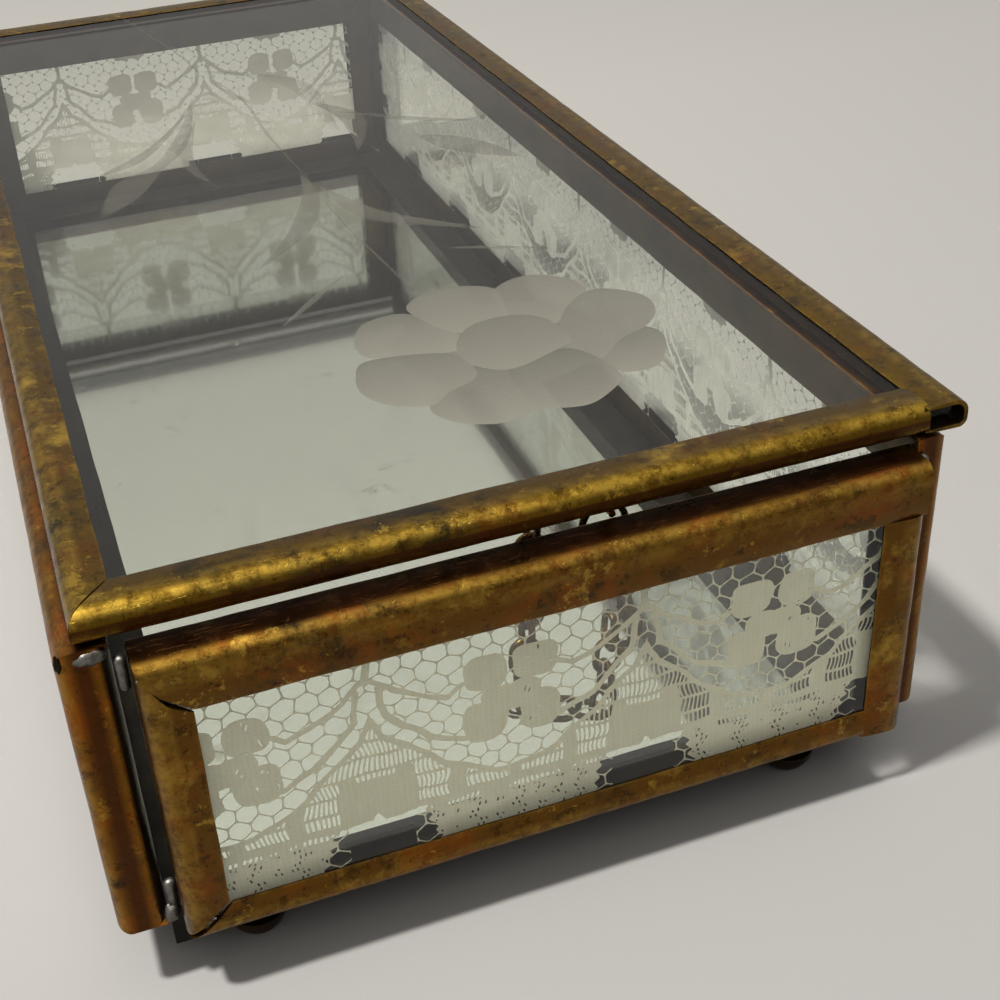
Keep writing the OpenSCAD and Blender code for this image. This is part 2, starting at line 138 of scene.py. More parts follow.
def brass(name, dark, mid, light, rust, shift=0.0, rough=0.3, grain=1.0):
    """Old brass: tarnish in patches, rust-coloured stains, rubbed bright edges, scratches, and painted shade, a
    dark copper-brown where the wear_and_shade attribute is negative.
    """
    m = Nodes(name)
    place = m.add("ShaderNodeTexCoord").outputs["Object"]
    moved = m.add("ShaderNodeMapping", Vector=place)
    moved.inputs["Location"].default_value = (shift, shift * 0.7, shift * 1.3)
    p = moved.outputs["Vector"]
    broad = m.noise(p, 80 * grain, 4, 0.6)
    patch = m.noise(p, 300 * grain, 6, 0.68)
    fine = m.noise(p, 1600, 4, 0.7)
    tone = m.math("ADD", m.math("MULTIPLY", broad, 0.6), m.math("MULTIPLY", patch, 0.4))
    colour = m.ramp(tone, [(0.36, dark), (0.46, mid), (0.56, mid), (0.64, light)])
    stain = m.grey(m.noise(p, 140 * grain, 6, 0.72), 0.5, 0.62)
    colour = m.mix(m.math("MULTIPLY", stain, 0.8), colour, rust)
    edged = m.noise(p, 420, 5, 0.8)
    tarnish = m.grey(edged, 0.57, 0.585)
    flake = m.grey(m.noise(p, 330, 8, 0.78), 0.605, 0.615)
    colour = m.mix(m.math("MULTIPLY", flake, 0.75), colour, light)
    colour = m.mix(m.math("MULTIPLY", tarnish, 0.5), colour, dark)
    speck = m.grey(m.noise(p, 2300, 2, 0.5), 0.66, 0.7)
    colour = m.mix(m.math("MULTIPLY", speck, 0.6), colour, tuple(0.3 * c for c in dark))
    worn_and_shaded = m.add("ShaderNodeAttribute", attribute_name="wear_and_shade").outputs["Fac"]
    rub = m.math("MULTIPLY", worn_and_shaded, m.grey(m.noise(p, 620, 5, 0.8), 0.4, 0.58, 0.05, 1.0))
    colour = m.mix(m.math("MULTIPLY", rub, 0.8), colour, light)
    # painted shade: where the wear_and_shade attribute is negative, down the back of each strip, the colour turns
    # dark copper-brown
    below = m.grey(worn_and_shaded, 0.0, -0.6)
    colour = m.mix(m.math("MULTIPLY", below, 0.85), colour, (0.045, 0.014, 0.004))
    roughness = m.grey(patch, 0.3, 0.7, rough - 0.07, rough + 0.16)
    height = m.math("ADD", m.math("MULTIPLY", broad, 1.0), m.math("MULTIPLY", fine, 0.05))
    height = m.math("SUBTRACT", height, m.math("MULTIPLY", tarnish, 0.08))
    scratch = m.add("ShaderNodeMapping", Vector=place)
    scratch.inputs["Scale"].default_value = (1, 16, 16)
    scratch.inputs["Rotation"].default_value = (0.3, 0.2, 0.5)
    lines = m.grey(m.noise(scratch.outputs["Vector"], 420, 2, 0.5), 0.66, 0.7)
    height = m.math("SUBTRACT", height, m.math("MULTIPLY", lines, 0.1))
    normal = m.bump(height, 0.5, 0.0003)
    m.shader(Base_Color=colour, Metallic=m.grey(tone, 0.35, 0.5, 0.9, 1.0), Roughness=roughness, Normal=normal)
    return m.material


def glass(name, tint, rough=0.0, smear=0.25, index=1.45):
    """Flat glass that lets plain light through to what lies behind it."""
    m = Nodes(name)
    p = m.add("ShaderNodeTexCoord").outputs["Object"]
    dust = m.grey(m.noise(p, 60, 5, 0.6), 0.5, 0.8, rough, rough + 0.03 * smear)
    wave = m.bump(m.noise(p, 22, 2, 0.4), 0.05, 0.0004)
    shadow = m.add("ShaderNodeLightPath").outputs["Is Shadow Ray"]
    alpha = m.grey(shadow, 0.0, 1.0, 1.0, 0.05)
    m.shader(Base_Color=tint, Roughness=dust, IOR=index, Transmission_Weight=1.0, Alpha=alpha, Normal=wave)
    return m.material


def lace_material(name, low, high, through_share):
    """Ecru cotton: light falls through the threads as well as on them."""
    m = Nodes(name)
    p = m.add("ShaderNodeTexCoord").outputs["Object"]
    weft = m.add("ShaderNodeTexWave", Vector=p, Scale=640.0, Distortion=4.0, Detail=2.0).outputs["Fac"]
    warp = m.add("ShaderNodeTexWave", Vector=p, Scale=760.0, Distortion=4.0, Detail=2.0)
    warp.bands_direction = "Z"
    weave = m.math("MULTIPLY", weft, warp.outputs["Fac"])
    slub = m.add("ShaderNodeMapping", Vector=p)
    slub.inputs["Scale"].default_value = (3, 3, 0.5)
    tone = m.noise(slub.outputs["Vector"], 500, 5, 0.7)
    colour = m.ramp(tone, [(0.3, low), (0.6, high)])
    colour = m.mix(m.math("MULTIPLY", weave, 0.25), colour, tuple(0.72 * c for c in low))
    normal = m.bump(m.math("ADD", weave, tone), 0.5, 0.00006)
    cloth = m.shader(Base_Color=colour, Roughness=0.85, Normal=normal)
    through = m.add("ShaderNodeBsdfTranslucent", Color=colour)
    both = m.tree.nodes.new("ShaderNodeMixShader")
    both.inputs[0].default_value = through_share
    m.link(cloth.outputs[0], both.inputs[1])
    m.link(through.outputs[0], both.inputs[2])
    m.link(both.outputs[0], m.out.inputs[0])
    return m.material


def plain(name, colour, rough, metallic=0.0, grain=300, depth=0.00005, second=None):
    m = Nodes(name)
    p = m.add("ShaderNodeTexCoord").outputs["Object"]
    n = m.noise(p, grain, 5, 0.65)
    other = second or tuple(0.6 * c for c in colour)
    tone = m.ramp(n, [(0.35, other), (0.62, colour)])
    m.shader(Base_Color=tone, Roughness=rough, Metallic=metallic, Normal=m.bump(n, 0.6, depth))
    return m.material


DARK = (0.012, 0.008, 0.003)
RUST = (0.17, 0.048, 0.006)
BRASS_END = brass("brass_end", DARK, (0.105, 0.048, 0.007), (0.32, 0.19, 0.030), RUST, 0.0)
BRASS_SIDE = brass("brass_side", DARK, (0.15, 0.060, 0.007), (0.34, 0.18, 0.022), (0.26, 0.070, 0.007), 0.31)
BRASS_LID = brass(
    "brass_lid", (0.020, 0.013, 0.003), (0.115, 0.062, 0.006), (0.40, 0.25, 0.035), (0.13, 0.045, 0.006), 0.63, 0.26
)
# a darker copy of the end brass: painted shade on the far end
BRASS_FAR_SHADE = brass("brass_far_painted_shade", DARK, (0.06, 0.032, 0.008), (0.16, 0.10, 0.03), RUST, 0.9)
# a lighter copy of the brass: painted light on the chain, its ring and staple, and the hinge pins
BRASS_CHAIN_LIT = brass(
    "brass_chain_painted_light", (0.012, 0.007, 0.003), (0.15, 0.09, 0.03), (0.46, 0.33, 0.14), (0.16, 0.065, 0.018), 1.4, 0.26
)
# a darker, plain copy of the brass: painted shade for the came insides, the feet and the left came's tip
BRASS_PAINTED_SHADE = plain("brass_painted_shade", (0.046, 0.027, 0.010), 0.45, 0.9, 160, 0.00004, (0.016, 0.010, 0.005))
# near-black brass: painted shade on the floor came inside the box's base
BRASS_FLOOR_SHADE = plain("brass_floor_painted_shade", (0.014, 0.011, 0.006), 0.5, 0.85, 300, 0.0001, (0.006, 0.005, 0.004))
SOLDER = plain("lead_solder", (0.20, 0.195, 0.185), 0.42, 0.9, 900, 0.00012, (0.07, 0.06, 0.045))
CLEAR = glass("pane_glass", (0.965, 0.98, 0.95))
LID_CLEAR = glass("lid_pane_glass", (0.92, 0.92, 0.885), index=1.2)
FLOOR_CLEAR = glass("floor_pane_glass", (0.965, 0.98, 0.95))
LACE = lace_material("lace_cotton", (0.95, 0.88, 0.65), (0.99, 0.95, 0.74), 0.5)
# a lighter, paler copy of the cotton: painted light on the far end's lace
LACE_FAR_LIT = lace_material("lace_cotton_far_painted_light", (0.94, 0.90, 0.78), (0.98, 0.95, 0.86), 0.65)
# a darker, greyer copy of the cotton: painted shade on the side lace
LACE_SIDE_SHADE = lace_material("lace_cotton_side_painted_shade", (0.50, 0.49, 0.45), (0.62, 0.61, 0.56), 0.5)
CARD = plain("backing_card_brown", (0.16, 0.11, 0.07), 0.9)
SILVER = Nodes("silvering")
p_ = SILVER.add("ShaderNodeTexCoord").outputs["Object"]
foxed = SILVER.grey(SILVER.noise(p_, 130, 6, 0.7), 0.63, 0.75)
SILVER.shader(
    Base_Color=SILVER.mix(foxed, (0.74, 0.74, 0.69), (0.42, 0.40, 0.32)),
    Metallic=1.0,
    Roughness=SILVER.grey(foxed, 0, 1, 0.08, 0.3),
)
SILVER = SILVER.material


def frosted(name):
    """Ground glass: frost says how strongly it is ground, tone how much light a facet catches."""
    m = Nodes(name)
    p = m.add("ShaderNodeTexCoord").outputs["Object"]
    grain = m.noise(p, 2600, 2, 0.5)
    frost = m.add("ShaderNodeAttribute", attribute_name="frost").outputs["Fac"]
    tone = m.add("ShaderNodeAttribute", attribute_name="tone").outputs["Fac"]
    alpha = m.math("MULTIPLY", frost, m.grey(grain, 0.2, 0.8, 0.92, 1.0))
    colour = m.mix(tone, (0.060, 0.058, 0.047), (0.195, 0.183, 0.148))
    top = m.shader(Base_Color=colour, Roughness=0.75, Alpha=alpha, Normal=m.bump(grain, 0.3, 0.00003))
    clear = m.add("ShaderNodeBsdfTransparent")
    under = m.tree.nodes.new("ShaderNodeMixShader")
    m.link(m.math("MULTIPLY", m.add("ShaderNodeNewGeometry").outputs["Backfacing"], 0.85), under.inputs[0])
    m.link(top.outputs[0], under.inputs[1])
    m.link(clear.outputs[0], under.inputs[2])
    m.link(under.outputs[0], m.out.inputs[0])
    return m.material


FROST = frosted("wheel_cut_ground_glass")


# ---------------------------------------------------------------- meshes
def make(name, verts, faces, material, body, smooth=True, attribute=None):
    mesh = bpy.data.meshes.new(name)
    verts = np.asarray(verts, float)
    mesh.from_pydata([tuple(v) for v in verts], [], [tuple(f) for f in faces])
    mesh.update()
    mesh.materials.append(material)
    if attribute:
        key, values = attribute
        layer = mesh.attributes.new(key, "FLOAT", "POINT")
        layer.data.foreach_set("value", np.asarray(values, np.float32))
    if smooth:
        mesh.polygons.foreach_set("use_smooth", [True] * len(mesh.polygons))
    obj = bpy.data.objects.new(name, mesh)
    scene.collection.objects.link(obj)
    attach(obj, body)
    return obj


def wobble(t, seed, low=0.02, high=0.2):
    """Smooth noise along a strip, between -1 and 1, t in mm."""
    r = np.random.default_rng(seed)
    out = np.zeros_like(t)
    for _ in range(7):
        out += np.sin(t * r.uniform(low, high) * 2 * math.pi + r.uniform(0, 6.28)) * r.uniform(0.4, 1)
    return out / 4.0


SHEET = 0.4         # thickness of the strip, mm
FOLD_STEPS = 6      # steps round a fold
OUTSIDE_POINTS = 2 * (4 + FOLD_STEPS + 1) + 1   # points across the strip's outside, see section
FIRST_HIDDEN = 13   # faces across the strip beyond this one are seen from inside the box and take the darker brass that paints shade there


def section(lip, depth, radius, back, steps=FOLD_STEPS):
    """The strip's outline across: (inward, height, wear_and_shade) in mm, the outside first and then the inside;
    wear_and_shade is rubbed brightness where positive and painted shade, darker down the strip's back, where
    negative.
    radius is the fold on the side seen from outside the box and back the fold on the other side."""
    half = depth / 2

    def flank(r):
        crown = max(lip * 0.62, r + 0.6)
        side = [
            (lip, half - 0.27, 0.5),
            (lip - 0.22, half - 0.2, 0.1),
            (crown, half - 0.06, 0.0),
            (r + 0.3, half, 0.5),
        ]
        for i in range(steps + 1):
            a = math.pi / 2 * i / steps
            # the fold is rubbed bright round its middle; towards the back the value turns negative: painted shade
            wear_and_shade = 0.35 + 0.6 * math.sin(2 * a) ** 2 - 0.6 * (i / steps) ** 3
            side.append((r - r * math.sin(a), half - r + r * math.cos(a), wear_and_shade))
        return side

    def lining(r):
        inner = max(r - SHEET, 0.02)
        side = [(lip, half - SHEET, 0.3), (max(r, SHEET + 0.02), half - SHEET, 0)]
        for i in range(1, 4):
            a = math.pi / 2 * i / 3
            centre = max(r, SHEET + 0.02)
            side.append((centre - inner * math.sin(a), half - centre + inner * math.cos(a), 0))
        return side

    def turned(side):
        return [(o, -h, w) for o, h, w in side[::-1]]

    # the middle of the strip's back gets -0.9: painted shade down the back of each rail
    outside = flank(radius) + [(0, 0, -0.9)] + turned(flank(back))
    inside = lining(radius) + turned(lining(back))
    return outside + inside[::-1]


def came(name, node, body, size, depth, lips, place, material, seams, seed, step=1.2, square_ends=(),
         radii=(1, 1, 1, 1), back=0.35):
    """The folded strip round a panel as four rails. place turns (x, y, height) in mm into the row frame.
    seams gives each corner's gap at the outer end, the inner end and how far it bulges between them:
    lower left, lower right, upper right, upper left. square_ends gives the rails that run through a corner,
    each with the rail that stops at it and how far short that one stops. radii go low, right, high, left."""
    width, height = size
    left, right, low, high = lips
    backs = back if isinstance(back, tuple) else (back,) * 4
    half_w, half_h = width / 2, height / 2
    corners = [(-half_w, -half_h), (half_w, -half_h), (half_w, half_h), (-half_w, half_h)]
    # corner where the rail starts, corner where it ends, its lip, the lips before and after it
    rails = [
        (0, 1, low, left, right),
        (1, 2, right, low, high),
        (2, 3, high, right, left),
        (3, 0, left, high, low),
    ]
    verts, faces, wear_and_shade, hidden = [], [], [], []
    for k, (a, b, lip, before, after) in enumerate(rails):
        start, end = np.array(corners[a]), np.array(corners[b])
        along = end - start
        length = float(np.linalg.norm(along))
        along /= length
        inward = np.array([-along[1], along[0]])
        shape = np.array(section(lip, depth, radii[k], backs[k]))
        count = len(shape)
        n = max(6, int(length / step))
        t = np.linspace(0, 1, n + 1)
        s0, s1 = seams[a], seams[b]
        edge = wobble(t * length, seed * 10 + k, 0.008, 0.09)
        dent = wobble(t * length, seed * 10 + k + 50, 0.01, 0.16)
        lift = wobble(t * length, seed * 10 + k + 90, 0.01, 0.12)
        base = len(verts)
        for i, f in enumerate(t):
            for o, h, w in shape:
                share = min(max(o / lip, 0), 1)
                arch = math.sin(math.pi * share)
                begin = o * before / lip + s0[0] + (s0[1] - s0[0]) * share + s0[2] * arch
                stop = length - o * after / lip - (s1[0] + (s1[1] - s1[0]) * share) - s1[3] * arch
                for through, at_end, short, short_end, amount in square_ends:
                    if through == k and at_end:
                        stop = length - 0.05
                    elif through == k:
                        begin = 0.05
                    if short == k and short_end:
                        stop = length - amount
                    elif short == k:
                        begin = amount
                pos = start + along * (begin + (stop - begin) * f)
                oo = o + 0.07 * edge[i] * share ** 2 + 0.035 * abs(dent[i]) * (1 - share)
                sunk = 0.04 * abs(lift[i]) * share + 0.05 * max(0, dent[i]) * (1 - share)
                hh = h - math.copysign(1, h) * sunk if abs(h) > 0.3 else h
                q = pos + inward * oo
                verts.append((q[0], q[1], hh))
                wear_and_shade.append(w)
        for i in range(n):
            for j in range(count):
                j2 = (j + 1) % count
                here, ahead = base + i * count, base + (i + 1) * count
                faces.append((here + j, here + j2, ahead + j2, ahead + j))
                hidden.append(j > FIRST_HIDDEN)
        # ends: bands between the outside and inside of the strip
        outer_n = OUTSIDE_POINTS
        inner_n = count - outer_n
        for i, flip in ((0, 1), (n, -1)):
            ring = base + i * count
            spread = (inner_n - 1) / (outer_n - 1)
            last = [ring + outer_n + (inner_n - 1 - int(round(m * spread))) for m in range(outer_n)]
            for m in range(outer_n - 1):
                quad = [ring + m, ring + m + 1, last[m + 1], last[m]]
                quad = list(dict.fromkeys(quad))
                if len(quad) >= 3:
                    faces.append(tuple(quad[::flip]))
                    hidden.append(False)
    verts = np.array([place(*v) for v in verts]) * MM
    obj = make(name, verts, faces, material, body, attribute=("wear_and_shade", wear_and_shade))
    # the faces seen from inside the box take the darker brass: painted shade
    obj.data.materials.append(BRASS_PAINTED_SHADE)
    obj.data.polygons.foreach_set("material_index", np.array(hidden, np.int32))
    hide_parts(node)
    smooth_by_angle(obj, 40)
    return obj


def smooth_by_angle(obj, degrees):
    bpy.context.view_layer.objects.active = obj
    for o in bpy.context.selected_objects:
        o.select_set(False)
    obj.select_set(True)
    bpy.ops.object.shade_smooth_by_angle(angle=math.radians(degrees))
    obj.select_set(False)


def middle(node):
    lo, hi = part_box(node)
    return (lo + hi) / 2 / MM, (hi - lo) / MM


def placer(node, side):
    """Places (x, y, height) of a panel as seen from outside: side is near, far, left, right, top or base."""
    c, _ = middle(node)
    if side == "near":
        return lambda x, y, h: (c[0] + x, c[1] - h, c[2] + y)
    if side == "far":
        return lambda x, y, h: (c[0] - x, c[1] + h, c[2] + y)
    if side == "left":
        return lambda x, y, h: (c[0] - h, c[1] - x, c[2] + y)
    if side == "right":
        return lambda x, y, h: (c[0] + h, c[1] + x, c[2] + y)
    return lambda x, y, h: (c[0] + x, c[1] + y, c[2] + h)


MITRE = (0.02, 0.05, 0, 0)
WALL_BACK = (0.08, 0.35, 0.35, 0.35)   # the low rail's fold is tight, so no light shows past the floor
_, near_size = middle("near_end_frame")
_, side_size = middle("left_side_frame")
_, right_size = middle("right_side_frame")
came("near_end_came", "near_end_frame", "box", (near_size[0], near_size[2]), near_size[1], (4.0, 4.4, 3.4, 5.2),
     placer("near_end_frame", "near"), BRASS_END,
     [(0.1, 0.2, 0.34, 0.3), (0.03, 0.06, 0, 0), (0.02, 0.08, 0.05, 0.02), (0.1, 0.22, 1.2, -1.0)], 1, 0.7,
     square_ends=[(1, 0, 0, 1, 4.35), (2, 0, 1, 1, 5.1)], radii=(1.1, 1.4, 1.3, 1.7), back=WALL_BACK)
came("far_end_came", "far_end_frame", "box", (near_size[0], near_size[2]), near_size[1], (4.0, 4.4, 3.4, 5.2),
     placer("far_end_frame", "far"), BRASS_FAR_SHADE, [(0.1, 0.25, 0, 0), MITRE, MITRE, MITRE], 2, 1.6,
     radii=(1.1, 1.4, 1.3, 1.7), back=WALL_BACK)
came("left_side_came", "left_side_frame", "box", (side_size[1], side_size[2]), side_size[0], (4.9, 4.9, 3.4, 5.2),
     placer("left_side_frame", "left"), BRASS_SIDE, [MITRE] * 4, 3, 1.6,
     radii=(1.1, 1.2, 1.6, 1.2), back=(0.08, 1.5, 0.35, 0.35))
came("right_side_came", "right_side_frame", "box", (right_size[1], right_size[2]), right_size[0],
     (4.9, 4.9, 3.4, 5.2), placer("right_side_frame", "right"), BRASS_SIDE, [MITRE] * 4, 4, 1.6,
     radii=(1.1, 1.2, 1.4, 1.2), back=WALL_BACK)
_, lid_size = middle("lid_frame")
came("lid_came", "lid_frame", "lid", (lid_size[0], lid_size[1]), lid_size[2], (3.7, 4.3, 4.3, 4.3),
     placer("lid_frame", "top"), BRASS_LID, [(0.03, 0.08, 0.1, 0.05), (0.0, 0.0, 0, 0), MITRE, MITRE], 5, 0.9,
     square_ends=[(1, 0, 0, 1, 3.9)], radii=(1.35, 1.35, 1.35, 1.35), back=0.8)
_, floor_size = middle("floor_frame")
# the floor came takes the near-black brass: painted shade
came("floor_came", "floor_frame", "box", (floor_size[0], floor_size[1]), floor_size[2], (4.3, 4.3, 4.3, 4.3),
     placer("floor_frame", "base"), BRASS_FLOOR_SHADE, [MITRE] * 4, 6, 3.0, radii=(0.08, 0.08, 0.08, 0.08))


# ---------------------------------------------------------------- lace
PERIOD = 25.1   # one repeat of the pattern, mm
CELL_X = 2.02   # net cell, mm
CELL_Y = 1.64
THREAD = 0.085  # half a thread's width
JITTER = 0.16   # how far a net cell's middle strays
JIT_CELLS = 512 # cells before the straying repeats
ROUNDING = 0.4  # how far a net cell's corners are rounded
TOP = 21.3      # height of the opening's top over its lower edge
LIP_COVERS = 2.4    # what the frame's lower lip hides of the sheet


def segment(x, y, points, half):
    """Field of a thick line: positive inside."""
    best = np.full(x.shape, -9.0)
    for (x0, y0), (x1, y1) in zip(points[:-1], points[1:]):
        dx, dy = x1 - x0, y1 - y0
        t = np.clip(((x - x0) * dx + (y - y0) * dy) / (dx * dx + dy * dy), 0, 1)
        best = np.maximum(best, half - np.hypot(x - x0 - t * dx, y - y0 - t * dy))
    return best


def blob(x, y, cx, cy, rx, ry, power=3.0):
    d = (np.abs((x - cx) / rx) ** power + np.abs((y - cy) / ry) ** power) ** (1 / power)
    return (1 - d) * min(rx, ry)


def net(x, y, seed):
    """Field of an uneven hexagonal net: positive on the threads."""
    r = np.random.default_rng(seed)
    jit = r.uniform(-1, 1, (2, JIT_CELLS, JIT_CELLS)) * JITTER
    row0 = np.round(y / CELL_Y).astype(int)
    best = []
    for dr in (-2, -1, 0, 1, 2):
        row = row0 + dr
        shift = (row % 2) * 0.5
        col0 = np.round(x / CELL_X - shift).astype(int)
        for dc in (-1, 0, 1):
            col = col0 + dc
            cx = (col + shift) * CELL_X + jit[0][row % JIT_CELLS, col % JIT_CELLS]
            cy = row * CELL_Y + jit[1][row % JIT_CELLS, col % JIT_CELLS] * 0.8
            best.append((np.hypot(x - cx, y - cy), cx, cy))
    d = np.stack([b[0] for b in best])
    order = np.argsort(d, axis=0)[:3]

    def take(k, i):
        return np.take_along_axis(np.stack([b[i] for b in best]), order[k:k + 1], 0)[0]

    def border(dk, k):
        gap = np.hypot(take(k, 1) - take(0, 1), take(k, 2) - take(0, 2)) + 1e-6
        return (dk ** 2 - d1 ** 2) / (2 * gap)

    d1, d2, d3 = take(0, 0), take(1, 0), take(2, 0)
    b2, b3 = border(d2, 1), border(d3, 2)
    blend = np.clip(0.5 + 0.5 * (b3 - b2) / ROUNDING, 0, 1)
    edge = b3 * (1 - blend) + b2 * blend - ROUNDING * blend * (1 - blend) * 0.5
    return THREAD - edge


def ladder(x, y, pitch_x, pitch_y, half_x, half_y, sway):
    """Openwork of short upright slots: negative in the slots."""
    row = np.floor(y / pitch_y)
    xs = x + sway * np.sin(y * 1.7) + (row % 2) * pitch_x * 0.25
    cx = (np.floor(xs / pitch_x) + 0.5) * pitch_x
    cy = (row + 0.5) * pitch_y
    d = np.maximum(np.abs(xs - cx) / half_x, np.abs(y - cy) / half_y)
    return (d - 1) * half_x


def lace_field(x, y, top, seed):
    """The lace's field at x along the repeat and y above the opening's lower edge, mm. Positive is thread."""
    r = np.random.default_rng(seed)
    warp = 0.12 * np.sin(x * 0.9 + y * 0.5) + 0.08 * np.sin(y * 2.1 - x * 0.35)
    u = (x + warp + PERIOD / 2) % PERIOD - PERIOD / 2   # 0 at the peak of a scallop
    f = (x + warp) % PERIOD - PERIOD / 2                # 0 at the middle of a flower
    v = y + 0.08 * np.sin(x * 1.3)
    m = np.abs(u)
    g = np.abs(f)
    field = net(x + warp, y, seed)
    # garlands
    for points, half in (
        ([(0.3, 18.6), (2.2, 16.9), (5.2, 15.2), (7.0, 14.6), (8.2, 15.4)], 0.27),
        ([(0.9, 17.6), (1.4, 14.5), (3.1, 12.7), (5.0, 10.9), (8.0, 9.5)], 0.30),
        ([(0.0, 14.4), (1.0, 12.2), (3.4, 10.3), (6.2, 7.5), (8.6, 6.0), (11.0, 5.0), (12.6, 4.9)], 0.33),
    ):
        field = np.maximum(field, segment(m, v, points, half))
    field = np.maximum(field, segment(m, v, [(0, 21.5), (0, 18.4)], 0.32))
    field = np.maximum(field, 0.35 - m - np.abs(v - 13.4) * 0.18)
    # what lies under the lowest garland: slots and woven cloth
    hem = np.interp(m, [0, 1.0, 3.4, 6.2, 8.6, 11.0, 12.6], [14.0, 12.2, 10.3, 7.5, 6.0, 5.0, 4.9])
    under = hem - v
    slots = ladder(u, v, 0.44, 1.75, 0.13, 0.72, 0.12)
    cloth = np.full(x.shape, -5.0)
    cloth = np.maximum(cloth, blob(m, v, 0, 5.0, 3.6, 3.0, 4))
    cloth = np.maximum(cloth, blob(m, v, 2.5, 6.3, 0.85, 2.5, 4))
    cloth = np.maximum(cloth, blob(m, v, 7.3, 4.8, 0.75, 2.6, 4))
    cloth = np.maximum(cloth, blob(m, v, 12.5, 4.4, 0.55, 1.3, 4))
    cloth = np.maximum(cloth, 0.42 - np.abs(v - 3.55))
    inner = np.maximum(slots, cloth)
    field = np.where(under > 0, np.maximum(inner, 0.3 - under), field)
    # the fringe below the hem, with an arch cut out under each peak
    weave_low = ladder(u, v, 0.5, 0.62, 0.085, 0.2, 0.25)
    broken = np.sin(x * 2.3 + np.sin(v * 3.0) * 1.4) * np.sin(x * 0.83 + 1.0) > 0.25
    low = np.where(broken, weave_low, 0.3)
    row = ladder(u, v - 2.35, 0.46, 0.75, 0.12, 0.3, 0.0)
    low = np.where((v > 2.35) & (v < 3.1) & (np.sin(x * 0.95 + 0.6) > 0.1), row, low)
    half_arch = 4.1 + (3.15 - v) * 0.3 + 0.25 * np.sin(v * 5 + x)
    arch = half_arch - m
    low = np.where(arch > 0, np.where(m > 3.0, np.maximum(net(x, y * 1.05, seed + 3), -5), -1.0), low)
    low = np.maximum(low, 0.14 - np.abs(arch))
    tip = blob(m, v, 0, 3.2, 0.55, 0.75, 1.2)
    field = np.where(v < 3.13, low, field)
    field = np.where(tip > 0, -tip, field)
    # flowers: four woven petals round a small open middle
    petals = np.full(x.shape, -5.0)
    petals = np.maximum(petals, blob(g, v, 2.25, 16.2, 1.95, 1.85, 3.2))
    petals = np.maximum(petals, blob(g, v, 2.55, 10.8, 1.95, 2.15, 3.2))
    petals = np.maximum(petals, blob(g, v, 1.2, 13.4, 1.6, 1.0, 2.4))
    petals = np.maximum(petals, blob(g, v, 0.4, 12.6, 0.9, 1.2, 2.4))
    petals = np.minimum(petals, -blob(g, v, 0, 14.9, 0.42, 0.55, 2.5))
    petals = np.minimum(petals, -blob(g, v, 0, 10.6, 0.62, 0.75, 2.5))
    loose = ladder(f, v, 0.52, 2.3, 0.07, 0.8, 0.3)
    spots = (np.sin(x * 3.1 + 2.0) * np.sin(v * 1.9 + x * 0.6) > 0.55) & (f > 0.4)
    petals = np.where(spots & (petals > 0.3), np.minimum(petals, loose), petals)
    field = np.maximum(field, petals)
    # a second row of flowers begins along the top
    field = np.maximum(field, blob(g, v, 1.1, top + 0.6, 1.5, 1.5, 3))
    return field


def contour(field):
    """Marching squares: (points in grid units, faces) that cover where the field is positive."""
    rows, cols = field.shape
    pos = field > 0
    faces = []
    gy, gx = np.nonzero(pos)
    ids = -np.ones(field.shape, np.int64)
    ids[gy, gx] = np.arange(len(gx))
    base = np.stack([gx, gy], 1).astype(float)
    # crossings on the edges between grid points
    a, b = field[:, :-1], field[:, 1:]
    hx = pos[:, :-1] != pos[:, 1:]
    ty, tx = np.nonzero(hx)
    s = a[ty, tx] / (a[ty, tx] - b[ty, tx])
    hid = -np.ones(hx.shape, np.int64)
    hid[ty, tx] = len(base) + np.arange(len(tx))
    cross_x = np.stack([tx + s, ty], 1)
    a, b = field[:-1], field[1:]
    vx = pos[:-1] != pos[1:]
    uy, ux = np.nonzero(vx)
    s = a[uy, ux] / (a[uy, ux] - b[uy, ux])
    vid = -np.ones(vx.shape, np.int64)
    vid[uy, ux] = len(base) + len(cross_x) + np.arange(len(ux))
    cross_y = np.stack([ux, uy + s], 1)
    points = np.concatenate([base, cross_x, cross_y])
    # corners c0 lower left, c1 lower right, c2 upper right, c3 upper left
    case = pos[:-1, :-1] * 1 + pos[:-1, 1:] * 2 + pos[1:, 1:] * 4 + pos[1:, :-1] * 8
    where = {
        "0": (ids, 0, 0), "1": (ids, 0, 1), "2": (ids, 1, 1), "3": (ids, 1, 0),
        "b": (hid, 0, 0), "t": (hid, 1, 0), "l": (vid, 0, 0), "r": (vid, 0, 1),
    }

    def key(k, y, x):
        grid, dy, dx = where[k]
        return grid[y + dy, x + dx]

    table = {
        1: ["0bl"], 2: ["b1r"], 3: ["01rl"], 4: ["r2t"], 5: ["0bl", "r2t"], 6: ["b12t"], 7: ["012tl"],
        8: ["lt3"], 9: ["0bt3"], 10: ["b1r", "lt3"], 11: ["01rt3"], 12: ["lr23"], 13: ["0br23"], 14: ["b123l"],
        15: ["0123"],
    }
    for c, polygons in table.items():
        y, x = np.nonzero(case == c)
        if not len(y):
            continue
        for polygon in polygons:
            faces += np.stack([key(k, y, x) for k in polygon], 1).tolist()
    return points, faces


